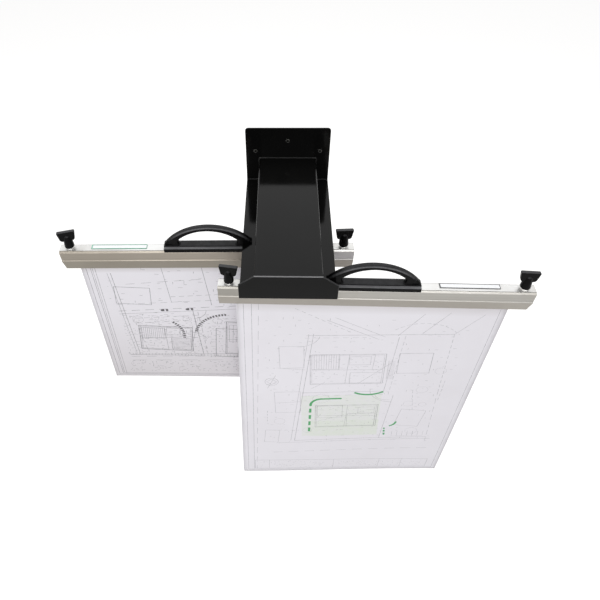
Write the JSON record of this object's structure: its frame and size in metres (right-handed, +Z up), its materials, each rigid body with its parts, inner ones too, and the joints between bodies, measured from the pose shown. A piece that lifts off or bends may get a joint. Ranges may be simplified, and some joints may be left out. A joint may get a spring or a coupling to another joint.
{
  "type": "plan hanging rack",
  "caption": "Wall rack of folded steel with clamp binders hooked on its flanges by their handles, holding large drawings by one edge; wing knobs open each clamp's jaw.",
  "frame": {"origin": "middle of the wall plate's back face, 76 mm above the top of the flanges", "axes": "+X along the wall to the right seen from the room, +Y into the wall, +Z up"},
  "size_m": [1.0442, 0.388, 1.0601],
  "materials": {
    "powder_coat": "satin black powder coat",
    "extrusion": "satin anodised",
    "moulding": "fine spark texture",
    "steel": "zinc plated",
    "label_rim_grey": "smooth",
    "label_rim_green": "smooth",
    "card": "plain card",
    "paper": "plain drawing paper"
  },
  "bodies": {
    "rack": {"wall_plate": "powder_coat", "arm": "powder_coat", "front_plate": "powder_coat"},
    "front_binder": {"front_clamp_spine": "extrusion", "front_inner_bush": "extrusion", "front_outer_bush": "extrusion", "front_handle": "moulding", "front_handle_screw_1": "steel", "front_handle_screw_2": "steel", "front_label_rim": "label_rim_grey", "front_label_card": "card", "front_plan_set": "paper"},
    "front_first_jaw": {"front_jaw_1": "extrusion"},
    "front_second_jaw": {"front_jaw_2": "extrusion"},
    "front_bar": {"front_draw_bar": "extrusion"},
    "front_inner_wing": {"front_inner_knob": "moulding", "front_inner_stud": "steel"},
    "front_outer_wing": {"front_outer_knob": "moulding", "front_outer_stud": "steel"},
    "rear_binder": {"rear_clamp_spine": "extrusion", "rear_inner_bush": "extrusion", "rear_outer_bush": "extrusion", "rear_handle": "moulding", "rear_handle_screw_1": "steel", "rear_handle_screw_2": "steel", "rear_label_rim": "label_rim_green", "rear_label_card": "card", "rear_plan_set": "paper"},
    "rear_first_jaw": {"rear_jaw_1": "extrusion"},
    "rear_second_jaw": {"rear_jaw_2": "extrusion"},
    "rear_bar": {"rear_draw_bar": "extrusion"},
    "rear_inner_wing": {"rear_inner_knob": "moulding", "rear_inner_stud": "steel"},
    "rear_outer_wing": {"rear_outer_knob": "moulding", "rear_outer_stud": "steel"}
  },
  "joints": [
    {"name": "front_binder_slide", "type": "slide", "parent": "rack", "child": "front_binder", "axis": [0, 1, 0], "range_m": [-0.04, 0.03]},
    {"name": "front_inner_turn", "type": "hinge", "parent": "front_binder", "child": "front_inner_wing", "pos_m": [-0.12585, -0.335, -0.08232], "axis": [0.0157, 0, 0.9999], "range_deg": [0, 1152]},
    {"name": "front_outer_turn", "type": "hinge", "parent": "front_binder", "child": "front_outer_wing", "pos_m": [0.49808, -0.335, -0.09212], "axis": [0.0157, 0, 0.9999], "range_deg": [0, 1152]},
    {"name": "front_bar_drop", "type": "slide", "parent": "front_binder", "child": "front_bar", "axis": [-0.0157, 0, -0.9999], "range_m": [0, 0.004]},
    {"name": "front_first_jaw_open", "type": "hinge", "parent": "front_binder", "child": "front_first_jaw", "pos_m": [0.18593, -0.343, -0.09912], "axis": [-0.9999, 0, 0.0157], "range_deg": [0, 4]},
    {"name": "front_second_jaw_open", "type": "hinge", "parent": "front_binder", "child": "front_second_jaw", "pos_m": [0.18593, -0.327, -0.09912], "axis": [0.9999, 0, -0.0157], "range_deg": [0, 4]},
    {"name": "rear_binder_slide", "type": "slide", "parent": "rack", "child": "rear_binder", "axis": [0, 1, 0], "range_m": [-0.03, 0.19]},
    {"name": "rear_inner_turn", "type": "hinge", "parent": "rear_binder", "child": "rear_inner_wing", "pos_m": [0.12593, -0.2211, -0.08499], "axis": [-0.0035, -0.0001, 1], "range_deg": [0, 1152]},
    {"name": "rear_outer_turn", "type": "hinge", "parent": "rear_binder", "child": "rear_outer_wing", "pos_m": [-0.49799, -0.2309, -0.08717], "axis": [-0.0035, -0.0001, 1], "range_deg": [0, 1152]},
    {"name": "rear_bar_drop", "type": "slide", "parent": "rear_binder", "child": "rear_bar", "axis": [0.0035, 0.0001, -1], "range_m": [0, 0.004]},
    {"name": "rear_first_jaw_open", "type": "hinge", "parent": "rear_binder", "child": "rear_first_jaw", "pos_m": [-0.18611, -0.218, -0.09798], "axis": [0.9999, 0.0157, 0.0035], "range_deg": [0, 4]},
    {"name": "rear_second_jaw_open", "type": "hinge", "parent": "rear_binder", "child": "rear_second_jaw", "pos_m": [-0.18586, -0.234, -0.09798], "axis": [-0.9999, -0.0157, -0.0035], "range_deg": [0, 4]}
  ],
  "couplings": [
    {"joint": "front_inner_turn", "follows": "front_bar_drop", "rad_per_m": 5026.5},
    {"joint": "front_outer_turn", "follows": "front_bar_drop", "rad_per_m": 5026.5},
    {"joint": "front_first_jaw_open", "follows": "front_bar_drop", "rad_per_m": 17.453},
    {"joint": "front_second_jaw_open", "follows": "front_bar_drop", "rad_per_m": 17.453},
    {"joint": "rear_inner_turn", "follows": "rear_bar_drop", "rad_per_m": 5026.5},
    {"joint": "rear_outer_turn", "follows": "rear_bar_drop", "rad_per_m": 5026.5},
    {"joint": "rear_first_jaw_open", "follows": "rear_bar_drop", "rad_per_m": 17.453},
    {"joint": "rear_second_jaw_open", "follows": "rear_bar_drop", "rad_per_m": 17.453}
  ]
}
